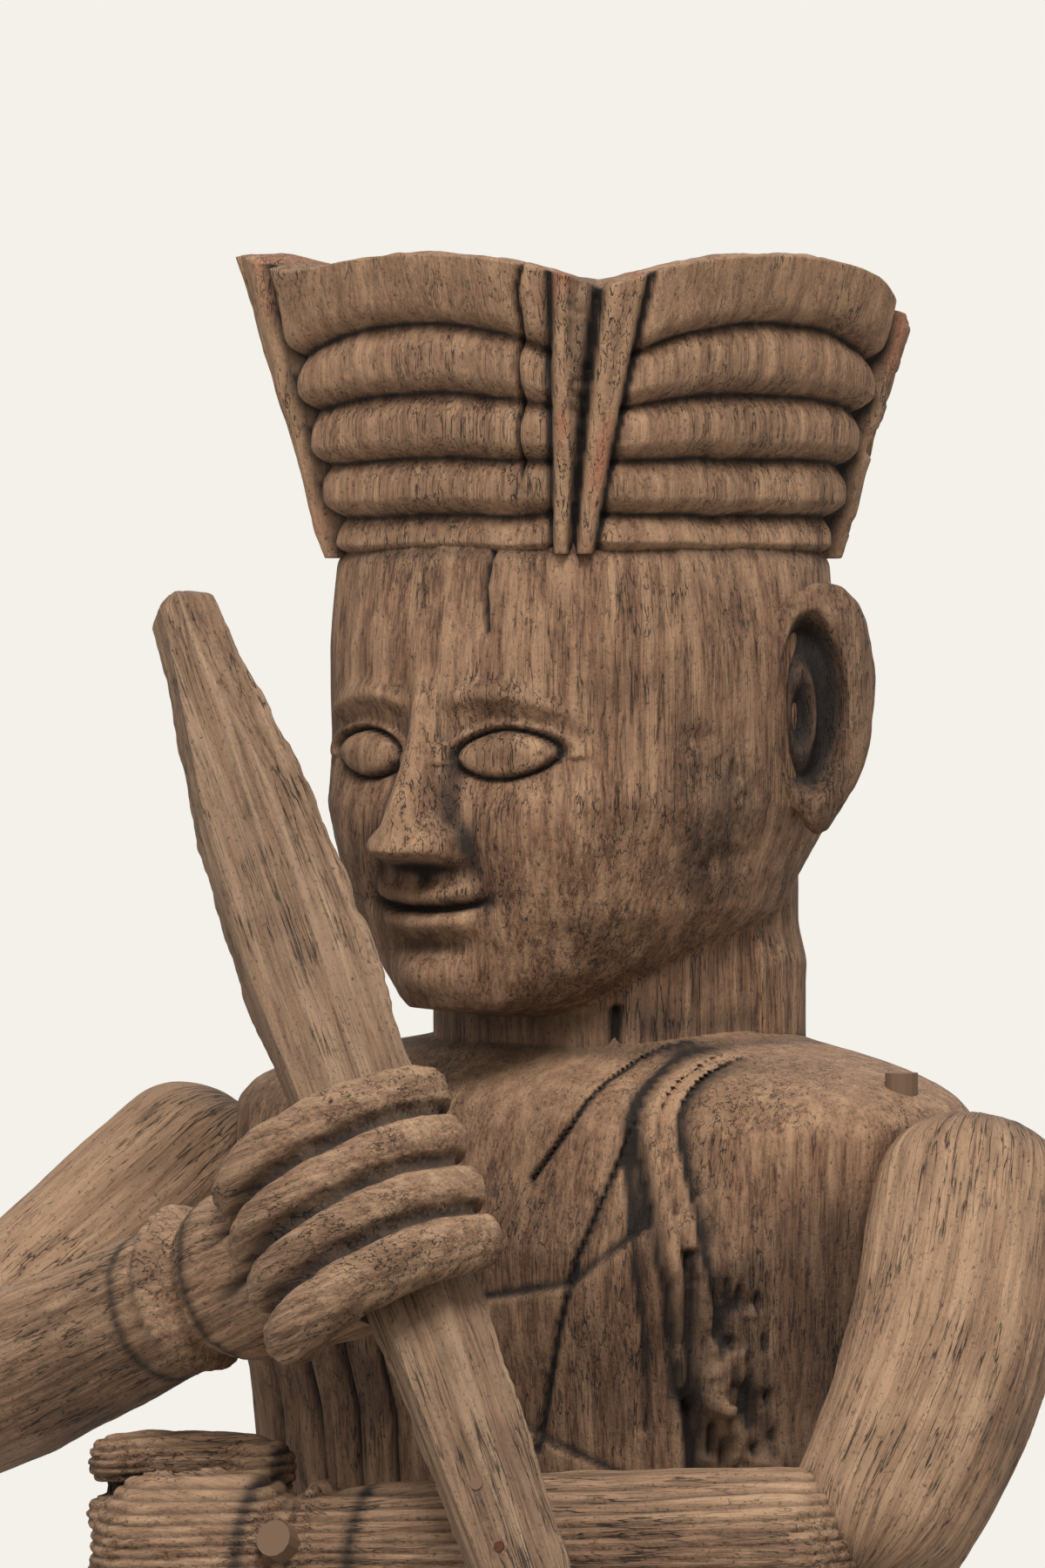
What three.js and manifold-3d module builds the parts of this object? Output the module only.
// A carved wooden doorkeeper: one log for crown, head, trunk and base, pegged arms, a nailed sword.
// Millimetres, +Z up, the figure faces -Y and its left side is +X. The origin is under the base.
import * as THREE from 'three';
import { mergeVertices } from 'three/addons/utils/BufferGeometryUtils.js';
import Module from 'manifold-3d';

const wasm = await Module();
wasm.setup();

// Driving dimensions of the log, heights first.
const TOTAL_HEIGHT = 1000;
const BASE_HEIGHT = 70;
const ANKLE_HEIGHT = 84;
const HEM_HEIGHT = 118;
const KNEE_HEIGHT = 330;
const HIP_HEIGHT = 560;
const BELT_LOW = 598;
const BELT_HIGH = 622;
const WAIST_HEIGHT = 640;
const CHEST_HEIGHT = 722;
const SHOULDER_HEIGHT = 757;
const SHOULDER_TOP = 768;
const NECK_FOOT = 779;
const CHIN_HEIGHT = 787;
const CROWN_BOTTOM = 915;
const BASE_HALF_WIDTH = 138;
const BASE_HALF_DEPTH = 112;
const BASE_SQUARENESS = 9;
const BASE_EDGE = 2;
const FOOT_HALF_WIDTH = 78;
const FOOT_HALF_DEPTH = 58;
const ANKLE_HALF_WIDTH = 74;
const ANKLE_HALF_DEPTH = 52;
const HEM_THICKNESS = 8;
const HEM_HALF_WIDTH = 104;
const HEM_HALF_DEPTH = 66;
const HIP_HALF_WIDTH = 116;
const HIP_HALF_DEPTH = 68;
const WAIST_HALF_WIDTH = 110;
const WAIST_HALF_DEPTH = 61;
const CHEST_HALF_WIDTH = 119;
const CHEST_HALF_DEPTH = 66;
const SHOULDER_HALF_WIDTH = 126;
const SHOULDER_HALF_DEPTH = 58;
const COLLAR_HALF_WIDTH = 76;
const NECK_HALF_WIDTH = 46;
const NECK_HALF_DEPTH = 45;
const NECK_BACK_SHIFT = 14;
const NECK_SQUARENESS = 3.2;
const HEAD_HALF_WIDTH = 66;
const HEAD_HALF_DEPTH = 68;
const CROWN_BOTTOM_HALF = 61;
const CROWN_TOP_HALF = 79;

// Carving on the log.
const ROLL_COUNT = 5;
const ROLL_DEPTH = 4;
const ROLL_ARCH = 0.12;
const BAR_SHARE = 0.72;
const CORNER_SHARE = 0.92;
const BAR_GROOVE = 5;
const PANEL_RISE = 12;
const CROWN_DIP = 11;
const PLEATS = 14;
const PLEAT_DEPTH = 3.4;
const PLEAT_WIDTH = 0.3;
const APRON_HALF_TOP = 18;
const APRON_HALF_FOOT = 34;
const APRON_PROUD = 4;
const APRON_FRONT = 20;
const BELT_PROUD = 3.5;
const EYE_APART = 26.5;
const NOSE_RISE = 15;
const EYE_HOLLOW = 5;
const LID_RISE = 5;
const LIP_RISE = 3.3;
const CHIN_RISE = 4.6;
const LIP_APART = 8;
const EAR_HALF_HEIGHT = 34;
const EAR_HALF_WIDTH = 18;
const EAR_THICKNESS = 6;
const EAR_LEAN = 1.12;
const EAR_BACK = 22;
const EAR_SEAT = 4;

// Heights on the head, as shares of the way from the chin to the crown.
const headAt = (share) => CHIN_HEIGHT + share * (CROWN_BOTTOM - CHIN_HEIGHT);
const JAW_LEVEL = headAt(0.025);
const JAW_ROUND = headAt(0.094);
const JAW_HEIGHT = headAt(0.22);
const MOUTH_HEIGHT = headAt(0.227);
const NOSE_FOOT = headAt(0.336);
const NECK_TOP = headAt(0.352);
const CHEEK_HEIGHT = headAt(0.453);
const EYE_HEIGHT = headAt(0.5625);
const EAR_HEIGHT = headAt(0.664);
const NOSE_TOP = headAt(0.703);
const BROW_HEIGHT = headAt(0.797);
const CAP_HEIGHT = headAt(0.985);

// Driving dimensions of the arms.
const LEFT_SHOULDER = new THREE.Vector3(143, 6, 744);
const LEFT_ELBOW = new THREE.Vector3(152, -66, 650);
const LEFT_WRIST = new THREE.Vector3(14, -123, 641);
const LEFT_HAND = new THREE.Vector3(-24, -140, 642);
const RIGHT_SHOULDER = new THREE.Vector3(-143, 6, 735);
const RIGHT_ELBOW = new THREE.Vector3(-180, -112, 657);
const RIGHT_WRIST = new THREE.Vector3(-30, -127, 713);
const RIGHT_HAND = new THREE.Vector3(35, -123, 733);
const UPPER_ARM_RADIUS = 28;
const ARM_END_RADIUS = 23;
const ARM_BULGE = 6;
const ARM_OVERRUN = 8;
const ELBOW_RADIUS = 26;
const FOREARM_RADIUS = 24;
const WRIST_RADIUS = 20;
const CUFF_RADIUS = 27;
const CUFF_END_RADIUS = 22;
const CUFF_LENGTH = 24;
const LEFT_FIST_RADIUS = 28;
const RIGHT_FIST_RADIUS = 35;
const FIST_HALF_DEPTH = 22;
const PALM_RADIUS = 26;
const PALM_BACK = 5;
const FINGER_RADIUS = 9;
const FINGER_TIP_RADIUS = 8.1;
const FINGER_PITCH = 1.7;
const FINGER_CURL = 2.4;
const HEEL_RADIUS = 23;
const CORE_END_RADIUS = 20;
const FIST_CORE_SHARE = 2.6;
const GRIP_HOLE_RADIUS = 13;
const GRIP_HOLE_REACH = 60;

// Driving dimensions of the sword: half widths at lengths from the tip.
const SWORD_TIP = new THREE.Vector3(-79, -84, 903);
const SWORD_CROSSING = new THREE.Vector3(92, -135, 659);
const FACE_TOWARDS = new THREE.Vector3(0.45, -0.89, 0);
const SWORD_LENGTH = 425;
const SWORD_TIP_HALF = 8;
const SWORD_TIP_ROUND = 4;
const SWORD_SWELL_HALF = 19.4;
const SWORD_NECK_HALF = 12.3;
const SWORD_WIDE_HALF = 21.4;
const SWORD_CROSSING_HALF = 15;
const SWORD_FOOT_HALF = 11.5;
const SWORD_NECK_AT = 25;
const SWORD_WIDE_AT = 122;
const SWORD_THICKNESS = 21;
const SWORD_BEVEL = 8;

// Joinery.
const CLEARANCE = 0.3;
const TENON_WIDTH = 24;
const TENON_HEIGHT = 32;
const TENON_LENGTH = 62;
const TENON_DROP = 4;
const PEG_RADIUS = 4.5;
const PEG_SPACING = 18;
const PEG_INSET = 32;
const PEG_TOP = 30;
const PEG_STUB = 2;
const ELBOW_PEG_LOW = 15;
const ELBOW_PEG_HIGH = 23;
const ELBOW_TENON_WIDTH = 16;
const ELBOW_TENON_HEIGHT = 22;
const ELBOW_TENON_LENGTH = 34;
const ELBOW_TENON_BACK = 14;
const HOLE_OVERRUN = 30;
const WRIST_PEG_RADIUS = 5;
const WRIST_PEG_DEPTH = 20;
const PIN_RADIUS = 1.8;
const NAIL_RADIUS = 1.5;
const NAIL_BITE = 14;
const PIN_GAP_ALONG = 19;

// Mesh fineness.
const LOG_SIDES = 60;
const LIMB_SIDES = 12;
const HEAD_ROW_STEP = 7;
const BODY_ROW_STEP = 60;

const UPWARDS = new THREE.Vector3(0, 0, 1);
const FRONT_WAYS = new THREE.Vector3(0, 1, 0);
const STEEP_SHARE = 0.95;

const WOOD = { color: 0x8b6f58, roughness: 0.82, metalness: 0 };
const PALE_WOOD = { color: 0xa98d70, roughness: 0.85, metalness: 0 };
const PEG_WOOD = { color: 0x9c8468, roughness: 0.8, metalness: 0 };
const RUST = { color: 0x4a2f22, roughness: 0.9, metalness: 0.4 };

// A closed skin over rings of equal count, with a fan over each end.
function skin(rings) {
  const count = rings[0].length;
  const points = rings.flat();
  const index = [];
  for (let row = 0; row + 1 < rings.length; row += 1) {
    for (let side = 0; side < count; side += 1) {
      const a = row * count + side;
      const b = row * count + ((side + 1) % count);
      index.push(a, b, b + count, a, b + count, a + count);
    }
  }
  const middle = (ring) => ring.reduce((sum, p) => sum.add(p), new THREE.Vector3())
    .multiplyScalar(1 / count);
  const last = (rings.length - 1) * count;
  const low = points.push(middle(rings[0])) - 1;
  const high = points.push(middle(rings[rings.length - 1])) - 1;
  for (let side = 0; side < count; side += 1) {
    const next = (side + 1) % count;
    index.push(low, next, side, high, last + side, last + next);
  }
  const geometry = new THREE.BufferGeometry().setFromPoints(points);
  geometry.setIndex(index);
  return geometry;
}

// A three.js geometry as a solid that can be joined and cut.
function solid(geometry) {
  const bare = new THREE.BufferGeometry();
  bare.setAttribute('position', geometry.getAttribute('position'));
  bare.setIndex(geometry.getIndex());
  const merged = mergeVertices(bare, 1e-4);
  return new wasm.Manifold(new wasm.Mesh({
    numProp: 3,
    vertProperties: new Float32Array(merged.getAttribute('position').array),
    triVerts: new Uint32Array(merged.getIndex().array),
  }));
}

function node(name, body, look) {
  const mesh = body.getMesh();
  const geometry = new THREE.BufferGeometry();
  geometry.setAttribute('position', new THREE.BufferAttribute(mesh.vertProperties, 3));
  geometry.setIndex(new THREE.BufferAttribute(mesh.triVerts, 1));
  geometry.computeVertexNormals();
  const piece = new THREE.Mesh(geometry, new THREE.MeshStandardMaterial(look));
  piece.name = name;
  return piece;
}

// Smooth step from 0 to 1 between two values.
function ease(low, high, value) {
  return THREE.MathUtils.smoothstep(value, low, high);
}

function bump(value, centre, width) {
  const ratio = (value - centre) / width;
  return Math.exp(-ratio * ratio);
}

// Levels of the log: height, half width, half depth, shift to the back, and squareness of the
// plan (2 is an ellipse, 8 nearly a rectangle).
const LEVELS = [
  [0, BASE_HALF_WIDTH, BASE_HALF_DEPTH, 0, BASE_SQUARENESS],
  [BASE_HEIGHT - 1, BASE_HALF_WIDTH, BASE_HALF_DEPTH, 0, BASE_SQUARENESS],
  [BASE_HEIGHT, BASE_HALF_WIDTH - BASE_EDGE, BASE_HALF_DEPTH - BASE_EDGE, 0, BASE_SQUARENESS],
  [BASE_HEIGHT + 1, FOOT_HALF_WIDTH, FOOT_HALF_DEPTH, -4, 3],
  [ANKLE_HEIGHT, ANKLE_HALF_WIDTH, ANKLE_HALF_DEPTH, 0, 3],
  [HEM_HEIGHT - HEM_THICKNESS, ANKLE_HALF_WIDTH + 6, ANKLE_HALF_DEPTH, 2, 2.6],
  [HEM_HEIGHT - HEM_THICKNESS + 3, HEM_HALF_WIDTH - 1, HEM_HALF_DEPTH - 1, 2, 2.6],
  [HEM_HEIGHT, HEM_HALF_WIDTH, HEM_HALF_DEPTH, 2, 2.6],
  [KNEE_HEIGHT, HEM_HALF_WIDTH + 2, HEM_HALF_DEPTH - 2, 3, 2.5],
  [HIP_HEIGHT, HIP_HALF_WIDTH, HIP_HALF_DEPTH, 4, 2.5],
  [BELT_HIGH, WAIST_HALF_WIDTH + 1, WAIST_HALF_DEPTH + 1, 4, 2.5],
  [WAIST_HEIGHT, WAIST_HALF_WIDTH, WAIST_HALF_DEPTH, 4, 2.5],
  [CHEST_HEIGHT, CHEST_HALF_WIDTH, CHEST_HALF_DEPTH, 3, 2.5],
  [SHOULDER_HEIGHT, SHOULDER_HALF_WIDTH, SHOULDER_HALF_DEPTH, 6, 2.4],
  [SHOULDER_TOP, SHOULDER_HALF_WIDTH - 10, SHOULDER_HALF_DEPTH - 8, 9, 2.3],
  [NECK_FOOT - 3, COLLAR_HALF_WIDTH, NECK_HALF_DEPTH + 2, NECK_BACK_SHIFT, 2.4],
  [NECK_FOOT, NECK_HALF_WIDTH, NECK_HALF_DEPTH, NECK_BACK_SHIFT, NECK_SQUARENESS],
  [NECK_TOP, NECK_HALF_WIDTH, NECK_HALF_DEPTH, NECK_BACK_SHIFT, NECK_SQUARENESS],
];

// Levels of the head about the log's axis: height, half width, half depth, shift, squareness.
const HEAD_LEVELS = [
  [CHIN_HEIGHT, 17, 20, -42, 2],
  [JAW_LEVEL, 28, 33, -30, 2],
  [JAW_ROUND, 42, 48, -16, 2.1],
  [JAW_HEIGHT, 55, 60, -6, 2.3],
  [CHEEK_HEIGHT, HEAD_HALF_WIDTH, HEAD_HALF_DEPTH, 0, 2.6],
  [BROW_HEIGHT, HEAD_HALF_WIDTH - 1, HEAD_HALF_DEPTH - 2, 0, 2.7],
  [CAP_HEIGHT, HEAD_HALF_WIDTH - 5, HEAD_HALF_DEPTH - 6, 0, 3],
  [CROWN_BOTTOM, CROWN_BOTTOM_HALF + 2, CROWN_BOTTOM_HALF + 2, 0, 3.6],
  [CROWN_BOTTOM + 45, CROWN_BOTTOM_HALF + 9.5, CROWN_BOTTOM_HALF + 9.5, 0, 4.2],
  [TOTAL_HEIGHT - PANEL_RISE, CROWN_TOP_HALF, CROWN_TOP_HALF, 0, 4.4],
];

function sizesAt(levels, height) {
  let upper = 1;
  while (upper < levels.length - 1 && levels[upper][0] < height) upper += 1;
  const low = levels[upper - 1];
  const high = levels[upper];
  const share = THREE.MathUtils.clamp((height - low[0]) / (high[0] - low[0]), 0, 1);
  return low.map((value, place) => value + (high[place] - value) * share);
}

// Distance from the log's axis to a rounded plan shifted to the back, found by bisection.
function planReach(sizes, angle, axisShift) {
  const [, width, depth, shift, square] = sizes;
  const inside = (radius) => (Math.abs(radius * Math.cos(angle)) / width) ** square
    + (Math.abs(radius * Math.sin(angle) + axisShift - shift) / depth) ** square < 1;
  let low = 0;
  let high = 2 * Math.max(width, depth);
  for (let step = 0; step < 22; step += 1) {
    const middle = (low + high) / 2;
    if (inside(middle)) low = middle;
    else high = middle;
  }
  return low;
}

// Place across a face of the crown's square plan, from -1 at one corner to 1 at the next.
function faceShare(angle) {
  return Math.tan(THREE.MathUtils.euclideanModulo(angle + Math.PI / 4, Math.PI / 2) - Math.PI / 4);
}

function crownRelief(angle, height) {
  const up = (height - CROWN_BOTTOM) / (TOTAL_HEIGHT - PANEL_RISE - CROWN_BOTTOM);
  const share = Math.abs(faceShare(angle));
  const arched = up + ROLL_ARCH * up * (share / BAR_SHARE) ** 2;
  const roll = Math.sqrt(Math.abs(Math.sin(Math.PI * ROLL_COUNT * arched)));
  if (share > CORNER_SHARE) return -BAR_GROOVE;
  return share < BAR_SHARE ? -ROLL_DEPTH * (1 - roll) : 1;
}

function faceRelief(across, height) {
  const side = Math.abs(across);
  const down = THREE.MathUtils.clamp((NOSE_TOP - height) / (NOSE_TOP - NOSE_FOOT), 0, 1);
  const bridge = (2.5 + NOSE_RISE * down ** 1.3) * Math.exp(-((side / (5 + 6 * down)) ** 2.4))
    * ease(NOSE_FOOT - 3, NOSE_FOOT + 3, height) * (1 - ease(NOSE_TOP - 4, NOSE_TOP + 8, height));
  return bridge - EYE_HOLLOW * bump(side, EYE_APART, 19) * bump(height, EYE_HEIGHT, 12)
    + LID_RISE * bump(side, EYE_APART, 12) * bump(height, EYE_HEIGHT, 5)
    + LIP_RISE * bump(side, 0, 17) * bump(height, MOUTH_HEIGHT + LIP_APART / 2, 3)
    + LIP_RISE * bump(side, 0, 15) * bump(height, MOUTH_HEIGHT - LIP_APART / 2, 3.4)
    + CHIN_RISE * bump(side, 0, 15) * bump(height, CHIN_HEIGHT + 9, 7.5);
}

function dressRelief(angle, across, forward, height) {
  if (height > BELT_LOW && height < BELT_HIGH) return BELT_PROUD;
  if (height > BELT_LOW || height < HEM_HEIGHT - 6) return 0;
  const fall = (BELT_LOW - height) / (BELT_LOW - HEM_HEIGHT);
  const apron = APRON_HALF_TOP + (APRON_HALF_FOOT - APRON_HALF_TOP) * fall;
  if (forward > APRON_FRONT && Math.abs(across) < apron) return APRON_PROUD;
  const groove = Math.abs(Math.cos((angle * PLEATS) / 2));
  return -PLEAT_DEPTH * bump(groove, 0, PLEAT_WIDTH);
}

// Distance from the axis to the log's skin in one direction at one height.
function reach(angle, height) {
  const axisShift = sizesAt(LEVELS, height)[3];
  if (height >= CROWN_BOTTOM) {
    return [planReach(sizesAt(HEAD_LEVELS, height), angle, 0) + crownRelief(angle, height), 0];
  }
  const trunkReach = planReach(sizesAt(LEVELS, height), angle, axisShift);
  if (height < CHIN_HEIGHT) {
    const across = Math.cos(angle) * trunkReach;
    const forward = -Math.sin(angle) * trunkReach;
    return [trunkReach + dressRelief(angle, across, forward, height), axisShift];
  }
  const shift = axisShift * (1 - ease(CHIN_HEIGHT, JAW_ROUND, height));
  const headReach = planReach(sizesAt(HEAD_LEVELS, height), angle, shift);
  const neckReach = planReach(sizesAt(LEVELS, height), angle, shift);
  const wide = height < NECK_TOP ? Math.max(headReach, neckReach) : headReach;
  const front = ease(0.1, 0.5, -Math.sin(angle));
  return [wide + front * faceRelief(Math.cos(angle) * wide, height), shift];
}

function logBody() {
  const heights = new Set([...LEVELS.slice(0, -1), ...HEAD_LEVELS].map((level) => level[0]));
  for (let step = CHIN_HEIGHT + 4; step < TOTAL_HEIGHT - PANEL_RISE; step += HEAD_ROW_STEP) {
    heights.add(step);
  }
  for (let step = HEM_HEIGHT; step < NECK_FOOT; step += BODY_ROW_STEP) heights.add(step);
  for (const edge of [BELT_LOW, BELT_HIGH]) heights.add(edge - 0.5).add(edge + 0.5);
  const rows = [...heights].sort((a, b) => a - b);
  const rings = rows.map((height) => {
    const ring = [];
    for (let side = 0; side < LOG_SIDES; side += 1) {
      const angle = (2 * Math.PI * (side + 0.5)) / LOG_SIDES;
      const [radius, shift] = reach(angle, height);
      const top = ease(CROWN_BOTTOM + 30, TOTAL_HEIGHT - PANEL_RISE, height);
      const arch = PANEL_RISE * Math.cos((Math.min(Math.abs(faceShare(angle)), 1) * Math.PI) / 2) * top;
      ring.push(new THREE.Vector3(Math.cos(angle) * radius, Math.sin(angle) * radius + shift,
        height + arch));
    }
    return ring;
  });
  const rim = rings[rings.length - 1];
  const dip = TOTAL_HEIGHT - PANEL_RISE - CROWN_DIP / 4;
  rings.push(rim.map((point) => new THREE.Vector3(point.x * 0.9, point.y * 0.9, point.z - 1)));
  rings.push(rim.map((point) => new THREE.Vector3(point.x * 0.5, point.y * 0.5, dip)));
  let body = solid(skin(rings));
  for (const side of [-1, 1]) body = body.add(ear(side));
  return body;
}

// A large ear: a flat ellipsoid that leans back from the side of the head.
function ear(side) {
  const geometry = new THREE.SphereGeometry(1, 16, 10);
  geometry.scale(EAR_HALF_WIDTH, EAR_THICKNESS, EAR_HALF_HEIGHT);
  geometry.rotateZ(side > 0 ? EAR_LEAN : Math.PI - EAR_LEAN);
  geometry.translate(side * (HEAD_HALF_WIDTH + EAR_SEAT), EAR_BACK, EAR_HEIGHT);
  return solid(geometry);
}

// A rounded limb along a smooth path, with one radius for each path point.
function limb(path, radii, flat = 1) {
  const curve = new THREE.CatmullRomCurve3(path, false, 'centripetal');
  const steps = (path.length - 1) * 5;
  const rings = [];
  const ahead = new THREE.Vector3();
  const across = new THREE.Vector3();
  const above = new THREE.Vector3();
  for (let step = 0; step <= steps; step += 1) {
    const share = step / steps;
    const middle = curve.getPoint(share);
    curve.getTangent(share, ahead);
    across.crossVectors(Math.abs(ahead.z) > STEEP_SHARE ? FRONT_WAYS : UPWARDS, ahead).normalize();
    above.crossVectors(ahead, across);
    const place = share * (radii.length - 1);
    const low = Math.min(Math.floor(place), radii.length - 2);
    const radius = THREE.MathUtils.lerp(radii[low], radii[low + 1], place - low);
    const ring = [];
    for (let side = 0; side < LIMB_SIDES; side += 1) {
      const angle = (2 * Math.PI * side) / LIMB_SIDES;
      ring.push(middle.clone().addScaledVector(across, Math.cos(angle) * radius * flat)
        .addScaledVector(above, Math.sin(angle) * radius));
    }
    rings.push(ring);
  }
  return solid(skin(rings));
}

// A straight bar of rectangular section between two points, its height kept upright.
function bar(from, to, width, height) {
  const length = from.distanceTo(to);
  const geometry = new THREE.BoxGeometry(width, length, height);
  const ahead = to.clone().sub(from).normalize();
  const across = new THREE.Vector3(ahead.y, -ahead.x, 0).normalize();
  const above = new THREE.Vector3().crossVectors(across, ahead);
  const turn = new THREE.Matrix4().makeBasis(across, ahead, above);
  turn.setPosition(from.clone().add(to).multiplyScalar(0.5));
  return solid(geometry.applyMatrix4(turn));
}

function rod(from, to, radius, sides = 14) {
  const geometry = new THREE.CylinderGeometry(radius, radius, from.distanceTo(to), sides);
  const turn = new THREE.Quaternion().setFromUnitVectors(new THREE.Vector3(0, 1, 0),
    to.clone().sub(from).normalize());
  geometry.applyQuaternion(turn);
  const middle = from.clone().add(to).multiplyScalar(0.5);
  geometry.translate(middle.x, middle.y, middle.z);
  return solid(geometry);
}

// The sword's own axes: along the blade, across its flat, and out of its face.
const BLADE = SWORD_CROSSING.clone().sub(SWORD_TIP).normalize();
const FACE = FACE_TOWARDS.clone().addScaledVector(BLADE, -BLADE.dot(FACE_TOWARDS)).normalize();
const EDGE = new THREE.Vector3().crossVectors(FACE, BLADE).normalize();
function swordBody(extra = 0) {
  const crossingAt = SWORD_TIP.distanceTo(SWORD_CROSSING);
  const stations = [
    [-extra, SWORD_TIP_HALF + extra, 0.6],
    [SWORD_TIP_ROUND, SWORD_TIP_HALF + 2.5 + extra, 0.8],
    [SWORD_NECK_AT, SWORD_NECK_HALF + extra, 1],
    [(SWORD_NECK_AT + SWORD_WIDE_AT) / 2, SWORD_SWELL_HALF + extra, 1],
    [SWORD_WIDE_AT, SWORD_WIDE_HALF + extra, 1],
    [crossingAt, SWORD_CROSSING_HALF + extra, 1],
    [SWORD_LENGTH + extra, SWORD_FOOT_HALF + extra, 0.9],
  ];
  const rings = stations.map(([along, half, thick]) => {
    const deep = (SWORD_THICKNESS / 2) * thick + extra;
    const flat = Math.max(half - SWORD_BEVEL, half * 0.35);
    const middle = SWORD_TIP.clone().addScaledVector(BLADE, along);
    return [[-half, 0], [-flat, -deep], [flat, -deep], [half, 0], [flat, deep], [-flat, deep]]
      .map(([across, out]) => middle.clone().addScaledVector(EDGE, across)
        .addScaledVector(FACE, out));
  });
  return solid(skin(rings));
}

// A fist: a palm, a core and four curled fingers about a grip line.
function fist(wrist, hand, ahead, grip, half) {
  const up = grip.clone().normalize();
  const out = new THREE.Vector3().crossVectors(ahead, up).normalize();
  const back = hand.clone().addScaledVector(out, -PALM_BACK);
  const reachUp = FIST_CORE_SHARE * FINGER_RADIUS;
  let body = limb([wrist, back, back.clone().addScaledVector(ahead, half * 0.75)],
    [HEEL_RADIUS, PALM_RADIUS, HEEL_RADIUS]);
  body = body.add(limb([-1, -0.6, 0.6, 1].map((level) => hand.clone()
    .addScaledVector(up, level * reachUp)),
  [CORE_END_RADIUS, FIST_HALF_DEPTH, FIST_HALF_DEPTH, CORE_END_RADIUS]));
  for (let finger = 0; finger < 4; finger += 1) {
    const level = (1.5 - finger) * FINGER_RADIUS * FINGER_PITCH;
    const knuckle = hand.clone().addScaledVector(up, level);
    const path = [-0.5, 0, 0.5].map((turn) => knuckle.clone()
      .addScaledVector(ahead, Math.sin(turn * FINGER_CURL) * half)
      .addScaledVector(out, Math.cos(turn * FINGER_CURL) * FIST_HALF_DEPTH));
    body = body.add(limb(path, [FINGER_RADIUS, FINGER_RADIUS, FINGER_TIP_RADIUS]));
  }
  return body;
}

function cuff(wrist, hand) {
  const ahead = hand.clone().sub(wrist).normalize();
  const half = CUFF_LENGTH / 2;
  return limb([-1, -0.6, 0.6, 1].map((place) => wrist.clone().addScaledVector(ahead, place * half)),
    [CUFF_END_RADIUS, CUFF_RADIUS, CUFF_RADIUS, CUFF_END_RADIUS]);
}

// Joint geometry of one arm: the tenon from the upper arm into the log.
function shoulderTenon(shoulder, extra) {
  const inward = -Math.sign(shoulder.x);
  const from = new THREE.Vector3(shoulder.x, shoulder.y, shoulder.z - TENON_DROP);
  const to = from.clone();
  to.x += inward * (TENON_LENGTH + extra);
  return bar(from, to, TENON_WIDTH + 2 * extra, TENON_HEIGHT + 2 * extra);
}

function shoulderPeg(shoulder, number, extra, stub) {
  const inward = -Math.sign(shoulder.x);
  const place = shoulder.x + inward * (PEG_INSET + number * PEG_SPACING);
  return rod(new THREE.Vector3(place, shoulder.y, shoulder.z - PEG_TOP - extra),
    new THREE.Vector3(place, shoulder.y, shoulder.z + PEG_TOP - TENON_DROP + stub), PEG_RADIUS + extra);
}

function elbowTenon(elbow, wrist, extra) {
  const back = elbow.clone().sub(wrist).normalize();
  return bar(elbow.clone().addScaledVector(back, -ELBOW_TENON_LENGTH),
    elbow.clone().addScaledVector(back, extra + ELBOW_TENON_BACK),
    ELBOW_TENON_WIDTH + 2 * extra, ELBOW_TENON_HEIGHT + 2 * extra);
}

function elbowPeg(elbow, extra, overrun = 0) {
  return rod(new THREE.Vector3(elbow.x, elbow.y, elbow.z - ELBOW_PEG_LOW - extra),
    new THREE.Vector3(elbow.x, elbow.y, elbow.z + ELBOW_PEG_HIGH + extra + overrun), PEG_RADIUS + extra);
}

function upperArm(shoulder, elbow, extra) {
  const outward = Math.sign(shoulder.x);
  const middle = shoulder.clone().lerp(elbow, 0.5);
  middle.x += outward * ARM_BULGE;
  middle.y += ARM_BULGE / 2;
  const tip = elbow.clone().addScaledVector(UPWARDS, -ARM_OVERRUN);
  return limb([shoulder.clone().addScaledVector(UPWARDS, ARM_OVERRUN), middle, tip],
    [ARM_END_RADIUS + extra, UPPER_ARM_RADIUS + extra, UPPER_ARM_RADIUS + extra,
      ELBOW_RADIUS + extra, ARM_END_RADIUS + extra]);
}

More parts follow.
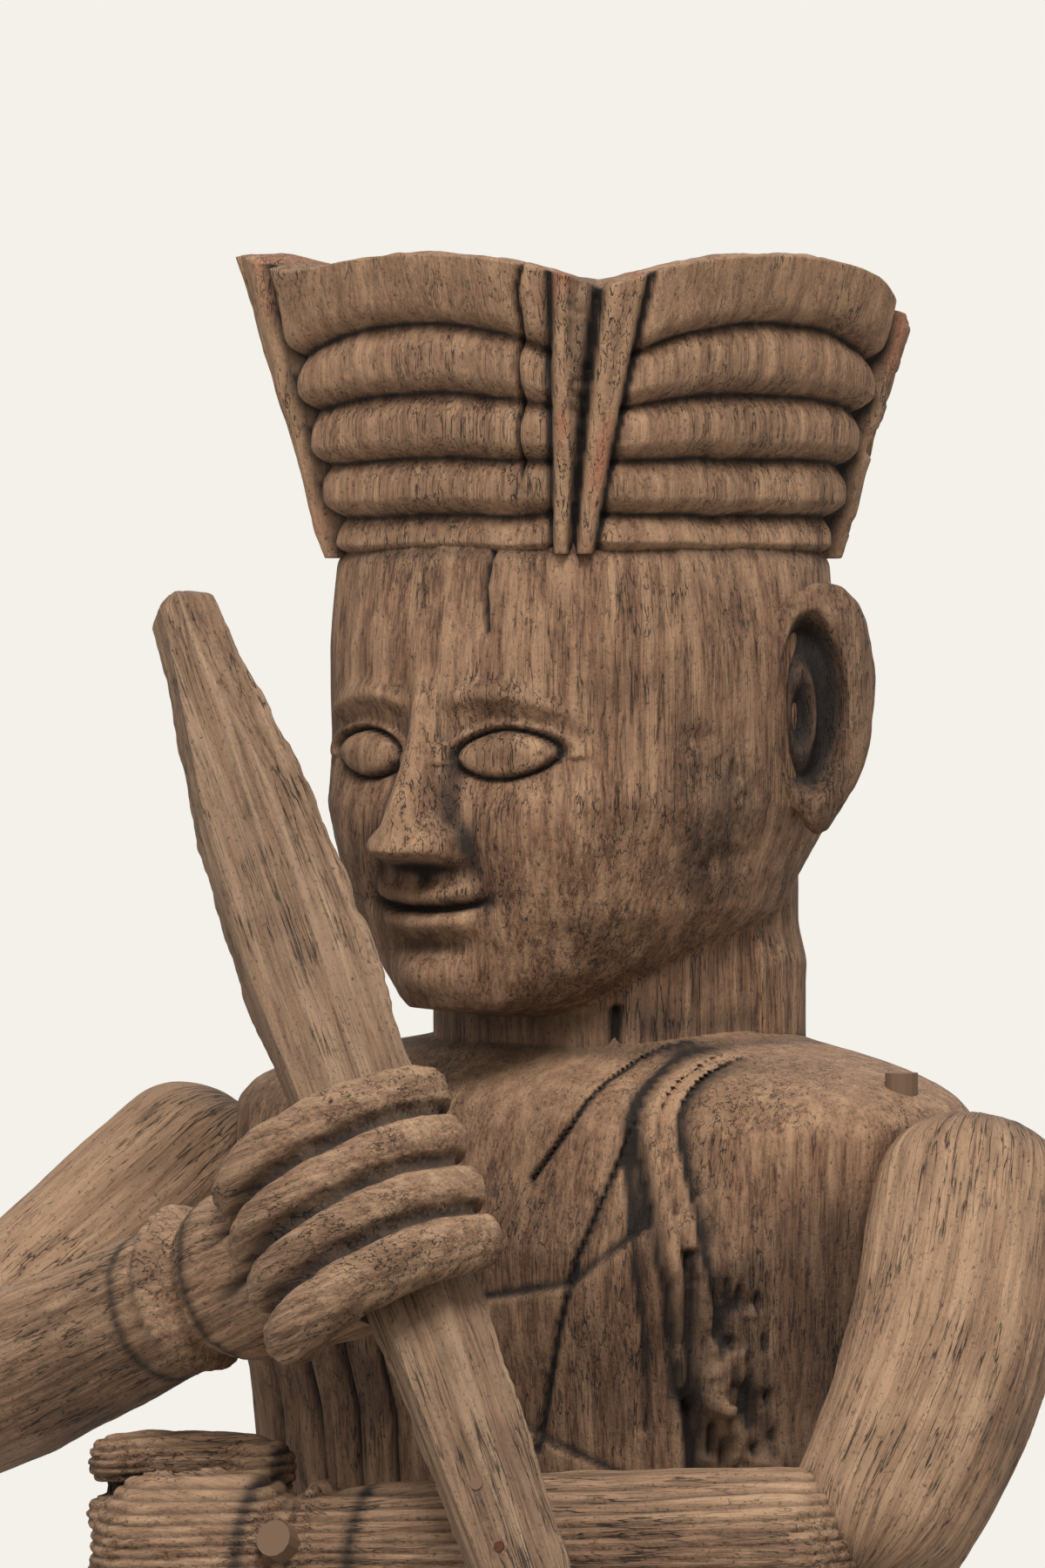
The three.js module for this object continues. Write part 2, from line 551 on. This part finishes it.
const sword = swordBody();
const swordRoom = swordBody(CLEARANCE);
let trunk = logBody();
const group = new THREE.Group();
const arms = {};
for (const [side, shoulder, elbow, wrist, hand, half] of [
  ['left', LEFT_SHOULDER, LEFT_ELBOW, LEFT_WRIST, LEFT_HAND, LEFT_FIST_RADIUS],
  ['right', RIGHT_SHOULDER, RIGHT_ELBOW, RIGHT_WRIST, RIGHT_HAND, RIGHT_FIST_RADIUS],
]) {
  const grip = side === 'left' ? UPWARDS : BLADE.clone().negate();
  const ahead = side === 'left' ? hand.clone().sub(wrist).normalize() : EDGE;
  let upper = upperArm(shoulder, elbow, 0);
  let fore = limb([elbow, elbow.clone().lerp(wrist, 0.5), wrist],
    [ELBOW_RADIUS - 3, FOREARM_RADIUS, WRIST_RADIUS])
    .add(cuff(wrist, hand)).add(fist(wrist, hand, ahead, grip, half));
  fore = fore.subtract(upperArm(shoulder, elbow, CLEARANCE)).add(elbowTenon(elbow, wrist, 0))
    .subtract(swordRoom).subtract(elbowPeg(elbow, CLEARANCE, HOLE_OVERRUN));
  upper = upper.add(shoulderTenon(shoulder, 0))
    .subtract(elbowTenon(elbow, wrist, CLEARANCE)).subtract(elbowPeg(elbow, CLEARANCE, HOLE_OVERRUN));
  trunk = trunk.subtract(upperArm(shoulder, elbow, CLEARANCE))
    .subtract(shoulderTenon(shoulder, CLEARANCE));
  for (const [number, level] of ['outer', 'inner'].entries()) {
    const stub = number === 0 ? PEG_STUB : 0;
    trunk = trunk.subtract(shoulderPeg(shoulder, number, CLEARANCE, stub + HOLE_OVERRUN));
    upper = upper.subtract(shoulderPeg(shoulder, number, CLEARANCE, stub + HOLE_OVERRUN));
    group.add(node(`${side}_shoulder_peg_${level}`, shoulderPeg(shoulder, number, 0, stub),
      PEG_WOOD));
  }
  group.add(node(`${side}_elbow_peg`, elbowPeg(elbow, 0), PEG_WOOD));
  arms[side] = { upper, fore };
}

// The open grip of the left fist, and the wooden plug in its cuff.
arms.left.fore = arms.left.fore.subtract(rod(
  LEFT_HAND.clone().addScaledVector(UPWARDS, -GRIP_HOLE_REACH),
  LEFT_HAND.clone().addScaledVector(UPWARDS, GRIP_HOLE_REACH), GRIP_HOLE_RADIUS, 20));
const plugMouth = LEFT_WRIST.clone().addScaledVector(FACE, CUFF_RADIUS + 1);
const plugEnd = plugMouth.clone().addScaledVector(FACE, -WRIST_PEG_DEPTH);
arms.left.fore = arms.left.fore.subtract(rod(plugMouth.clone().addScaledVector(FACE, 10),
  plugEnd.clone().addScaledVector(FACE, -CLEARANCE), WRIST_PEG_RADIUS + CLEARANCE));
group.add(node('left_wrist_peg', rod(plugMouth, plugEnd, WRIST_PEG_RADIUS), PEG_WOOD));

// The pin and the nail through the blade into the left forearm.
let blade = sword;
for (const [name, radius, along, look] of [
  ['sword_pin', PIN_RADIUS, -PIN_GAP_ALONG / 2, PEG_WOOD],
  ['sword_nail', NAIL_RADIUS, PIN_GAP_ALONG / 2, RUST],
]) {
  const head = SWORD_CROSSING.clone().addScaledVector(BLADE, along)
    .addScaledVector(FACE, SWORD_THICKNESS / 2);
  const end = head.clone().addScaledVector(FACE, -SWORD_THICKNESS - NAIL_BITE);
  const room = rod(head.clone().addScaledVector(FACE, 5),
    end.clone().addScaledVector(FACE, -CLEARANCE), radius + CLEARANCE, 10);
  blade = blade.subtract(room);
  arms.left.fore = arms.left.fore.subtract(room);
  group.add(node(name, rod(head, end, radius, 10), look));
}

group.add(node('trunk', trunk, WOOD));
group.add(node('sword', blade, WOOD));
group.add(node('left_upper_arm', arms.left.upper, PALE_WOOD));
group.add(node('left_forearm', arms.left.fore, WOOD));
group.add(node('right_upper_arm', arms.right.upper, WOOD));
group.add(node('right_forearm', arms.right.fore, WOOD));

export default group;
